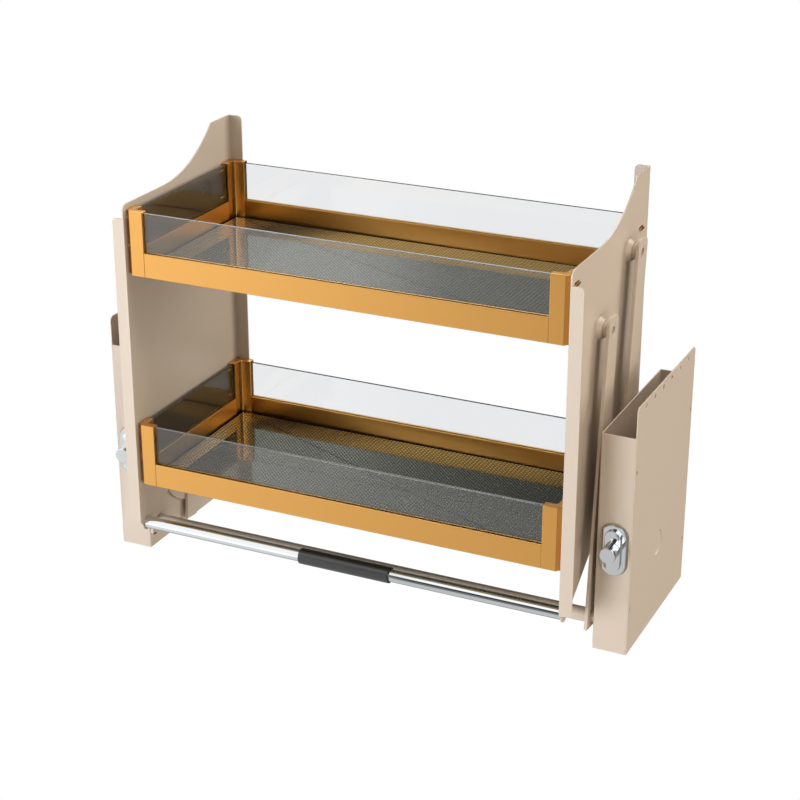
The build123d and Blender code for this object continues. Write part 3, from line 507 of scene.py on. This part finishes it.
# Knobs: chromed, with a groove behind the cap
knob = {"x": 335.2, "z": 140.5, "back": -89.4, "front": -105.8, "radius": 10.0, "backEdge": 0.5, "frontEdge": 0.8,
        "cap": 2.2, "groove": 0.6, "grooveWidth": 0.8, "grooveSlope": 0.2, "bore": 4.05, "boreEnd": -99.9, "steps": 96}
capBack = knob["front"] + knob["cap"]
grooveRadius = knob["radius"] - knob["groove"]
knobLine = [(knob["boreEnd"], 0), (knob["boreEnd"], knob["bore"]), (knob["back"], knob["bore"])]
knobLine += rounded(knob["back"], knob["radius"], knob["backEdge"], -1, 1)
knobLine += [(capBack + knob["grooveWidth"] + knob["grooveSlope"], knob["radius"])]
knobLine += [(capBack + knob["grooveWidth"], grooveRadius), (capBack, grooveRadius)]
knobLine += [(capBack - knob["grooveSlope"], knob["radius"])]
knobLine += reversed(rounded(knob["front"], knob["radius"], knob["frontEdge"], 1, 1))
knobLine += [(knob["front"], 0)]
for side, sign in (("left", -1), ("right", 1)):
    mesh = spunMesh("knob", knobLine, sign * knob["x"], knob["z"], axis="Y", steps=knob["steps"])
    addPiece(f"knob_{side}_turned", mesh, [f"knob_{side}"])

# Balance springs: two turns of round wire, wound on the arbors
spring = {"y": 23.6, "z": 104.4, "start": 317.15, "wire": 4.6, "radius": 14.6, "turns": 2, "steps": 40,
          "wireSides": 12, "play": 0.02}
middle = Vector((0, spring["y"], spring["z"])) * mm
wireStart = middle + Vector((spring["start"] + spring["wire"] / 2, 0, spring["radius"])) * mm
parts = []
for flip in (False, True):
    shape = bmesh.new()
    wire = bmesh.ops.create_circle(shape, segments=spring["wireSides"],
                                   radius=(spring["wire"] / 2 - spring["play"]) * mm)["verts"]
    bmesh.ops.rotate(shape, verts=wire, cent=(0, 0, 0), matrix=Matrix.Rotation(radians(90), 3, "X"))
    bmesh.ops.translate(shape, verts=wire, vec=wireStart)
    bmesh.ops.spin(shape, geom=shape.verts[:] + shape.edges[:], cent=middle, axis=(1, 0, 0),
                   dvec=(spring["wire"] * mm / spring["steps"], 0, 0), angle=2 * pi * spring["turns"],
                   steps=spring["steps"] * spring["turns"])
    bmesh.ops.holes_fill(shape, edges=[e for e in shape.edges if e.is_boundary])
    if flip:
        bmesh.ops.scale(shape, vec=(-1, 1, 1), verts=shape.verts)
    bmesh.ops.recalc_face_normals(shape, faces=shape.faces)
    smoothed(shape)
    parts.append(finishedMesh(shape, "spring"))
addPiece("springs_wound", joinedMesh("springs_wound", parts), ["torsion_springs"])

# The rest of the drive inside the housings
drive = {"housing_rivets": 0.15, "shaft_bushes": 0.2, "spindle_brackets": 0.25}
for kind, width in (("pivot_shaft", 0.25), ("preload_wheel", 0.15), ("worm_spindle", 0.1)):
    drive.update({f"{kind}_{side}": width for side in sides})
for name, width in drive.items():
    softenedCopy(name, width, clamp=True)
print("turned and wound pieces made")

# Studio: pale floor below the lowered basket, white surroundings behind and a dim room in front.
# Polished metal and glass show softboxes and dark screens instead, given by direction: "across",
# "depth" and "height" are the parts of a unit vector, and each change of level has its limits there.
studio = {
    "floorHeight": -400,
    "floorSize": 9000,
    "floorColour": "#F2F2F0",
    "floorRoughness": 0.9,
    "behind": 0.5,
    "behindDepth": (0.0, 0.6),
    "infrontLeft": 0.05,
    "infrontRight": 0.3,
    "infrontAcross": (-0.6, 0.3),
    "overhead": 0.4,
    "overheadHeight": (0.45, 0.9),
    "side": 0.4,
    "sideAcross": (0.55, 0.9),
    "tint": "#FFF6EA",
    "lampAim": (0, 0, 220),
}
mirrored = {
    "below": 0.64,
    "belowRight": 0.3,
    "belowAcross": (0.05, 0.25),
    "around": 0.2,
    "aroundHeight": (-0.34, -0.28),
    "screens": 0.05,
    "screensHeight": (0.05, 0.2),
    "above": 0.15,
    "aboveHeight": (0.9, 0.94),
    "behindLeft": 0.46,
    "behindRight": 0.13,
    "behindAcross": (-0.46, -0.3),
    "behindBelow": 0.6,
    "behindBelowHeight": (-0.3, 0.0),
    "behindHigh": 4.0,
    "behindHighHeight": (0.52, 0.6),
    "behindDepth": (0.1, 0.5),
    "boxesDepth": (-0.25, -0.1),
    "boxEdge": 0.03,
}
softboxes = {
    "left": {"x": (-1.2, -0.4), "z": (-0.37, 0.9), "level": 1.12},
    "lowerLeft": {"x": (-1.2, -0.42), "z": (-1.0, -0.37), "level": 0.22},
    "middle": {"x": (-0.39, -0.24), "z": (0.5, 0.9), "level": 1.2},
    "right": {"x": (0.1, 0.6), "z": (-0.05, 0.6), "level": 1.9},
}
lamps = {
    "frontLow": {"place": (-1500, -2700, 250), "size": 2200, "spread": 60, "power": 22.8, "colour": "#EEF2FA"},
    "rightLow": {"place": (2600, -1500, 250), "size": 1200, "spread": 50, "power": 1.9, "colour": "#FFF1DE"},
    "rightBack": {"place": (3000, 1800, 750), "size": 2200, "spread": 60, "power": 8.8, "colour": "#FFFBF4"},
    "topRight": {"place": (1100, -100, 2700), "size": 1500, "spread": 60, "power": 5.2, "colour": "#FFF8F2"},
}


def seenDirectly(tree, path):
    # 1 for what the eye sees, straight or through glass, and 0 for what metal or paint reflects
    bounces = calculate(tree, "ADD", path.outputs["Glossy Depth"], path.outputs["Diffuse Depth"])
    through = calculate(tree, "SUBTRACT", path.outputs["Is Transmission Ray"], bounces)
    return calculate(tree, "MAXIMUM", path.outputs["Is Camera Ray"], through)


floorShape = bmesh.new()
bmesh.ops.create_grid(floorShape, x_segments=1, y_segments=1, size=studio["floorSize"] * mm / 2)
bmesh.ops.translate(floorShape, vec=(0, 0, studio["floorHeight"] * mm), verts=floorShape.verts)
floorMesh = finishedMesh(floorShape, "floor")
floor = bpy.data.objects.new("floor", floorMesh)
bpy.context.collection.objects.link(floor)
paper, tree, shader = newMaterial("paleStudioFloor")
setShader(tree, shader, {"Base Color": linearColour(studio["floorColour"]), "Roughness": studio["floorRoughness"],
                         "Specular IOR Level": 0.0})
white = addNode(tree, "ShaderNodeEmission", {"Color": (1, 1, 1, 1), "Strength": 1.0})
path = addNode(tree, "ShaderNodeLightPath")
mix = addNode(tree, "ShaderNodeMixShader", {},
              {0: seenDirectly(tree, path), 1: shader.outputs[0], 2: white.outputs[0]})
tree.links.new(mix.outputs[0], tree.nodes["Material Output"].inputs["Surface"])
floorMesh.materials.append(paper)
floor.visible_glossy = False


def fade(tree, value, limits, fromLevel, toLevel):
    # a smooth change of level; the first level is a number or the output that it carries on from
    settings = {"interpolation_type": "SMOOTHSTEP", "From Min": limits[0], "From Max": limits[1], "To Max": toLevel}
    node = addNode(tree, "ShaderNodeMapRange", settings, {"Value": value})
    if isinstance(fromLevel, float):
        node.inputs["To Min"].default_value = fromLevel
    else:
        tree.links.new(fromLevel, node.inputs["To Min"])
    return node.outputs[0]


def between(tree, share, first, second):
    return addNode(tree, "ShaderNodeMapRange", {}, {"Value": share, "To Min": first, "To Max": second}).outputs[0]


world = bpy.data.worlds.new("studio")
bpy.context.scene.world = world
world.use_nodes = True
world.cycles.sampling_method = "NONE"
tree = world.node_tree
direction = addNode(tree, "ShaderNodeSeparateXYZ", {}, {0: addNode(tree, "ShaderNodeTexCoord").outputs["Generated"]})
across, depth, height = (direction.outputs[n] for n in "XYZ")

# What lights the paint
infront = fade(tree, across, studio["infrontAcross"], studio["infrontLeft"], studio["infrontRight"])
around = fade(tree, depth, studio["behindDepth"], infront, studio["behind"])
around = calculate(tree, "MULTIPLY", around, fade(tree, across, studio["sideAcross"], 1.0, studio["side"]))
lit = calculate(tree, "ADD", around, fade(tree, height, studio["overheadHeight"], 0.0, studio["overhead"]))

# What polished surfaces show: the front half with its softboxes, and the rear half
front = fade(tree, across, mirrored["belowAcross"], mirrored["below"], mirrored["belowRight"])
for level in ("around", "screens", "above"):
    front = fade(tree, height, mirrored[level + "Height"], front, mirrored[level])
facing = fade(tree, depth, mirrored["boxesDepth"], 1.0, 0.0)
for box in softboxes.values():
    inside = facing
    for value, edges in ((across, box["x"]), (height, box["z"])):
        low, high = ((edge - mirrored["boxEdge"], edge + mirrored["boxEdge"]) for edge in edges)
        inside = calculate(tree, "MULTIPLY", inside, fade(tree, value, low, 0.0, 1.0))
        inside = calculate(tree, "MULTIPLY", inside, fade(tree, value, high, 1.0, 0.0))
    front = calculate(tree, "ADD", front, calculate(tree, "MULTIPLY", inside, box["level"]))
rear = fade(tree, across, mirrored["behindAcross"], mirrored["behindLeft"], mirrored["behindRight"])
belowRear = fade(tree, height, mirrored["behindBelowHeight"], mirrored["behindBelow"], 1.0)
rear = calculate(tree, "MULTIPLY", rear, belowRear)
rear = fade(tree, height, mirrored["behindHighHeight"], rear, mirrored["behindHigh"])
shown = between(tree, fade(tree, depth, mirrored["behindDepth"], 0.0, 1.0), front, rear)

# The eye sees plain white, polished surfaces the mirrored room, and all the rest the lit one
path = addNode(tree, "ShaderNodeLightPath")
seen = seenDirectly(tree, path)
polished = addNode(tree, "ShaderNodeMath", {"operation": "SUBTRACT", "use_clamp": True},
                   {0: path.outputs["Glossy Depth"], 1: path.outputs["Diffuse Depth"]}).outputs[0]
room = between(tree, polished, lit, shown)
level = addNode(tree, "ShaderNodeMapRange", {"To Max": 1.0}, {"Value": seen, "To Min": room}).outputs[0]
untinted = calculate(tree, "MAXIMUM", seen, polished)
background = tree.nodes["Background"]
tree.links.new(blend(tree, untinted, studio["tint"], "#FFFFFF"), background.inputs["Color"])
tree.links.new(level, background.inputs["Strength"])

for name, settings in lamps.items():
    lamp = bpy.data.lights.new(name, "AREA")
    lamp.shape = "SQUARE"
    lamp.size = settings["size"] * mm
    lamp.energy = settings["power"]
    lamp.spread = radians(settings["spread"])
    lamp.color = linearColour(settings["colour"])[:3]
    lampObject = bpy.data.objects.new(name, lamp)
    lampObject.location = Vector(settings["place"]) * mm
    aim = Vector(studio["lampAim"]) * mm - lampObject.location
    lampObject.rotation_euler = aim.to_track_quat("-Z", "Y").to_euler()
    lampObject.visible_glossy = False
    lampObject.visible_transmission = False
    bpy.context.collection.objects.link(lampObject)
print("studio made")
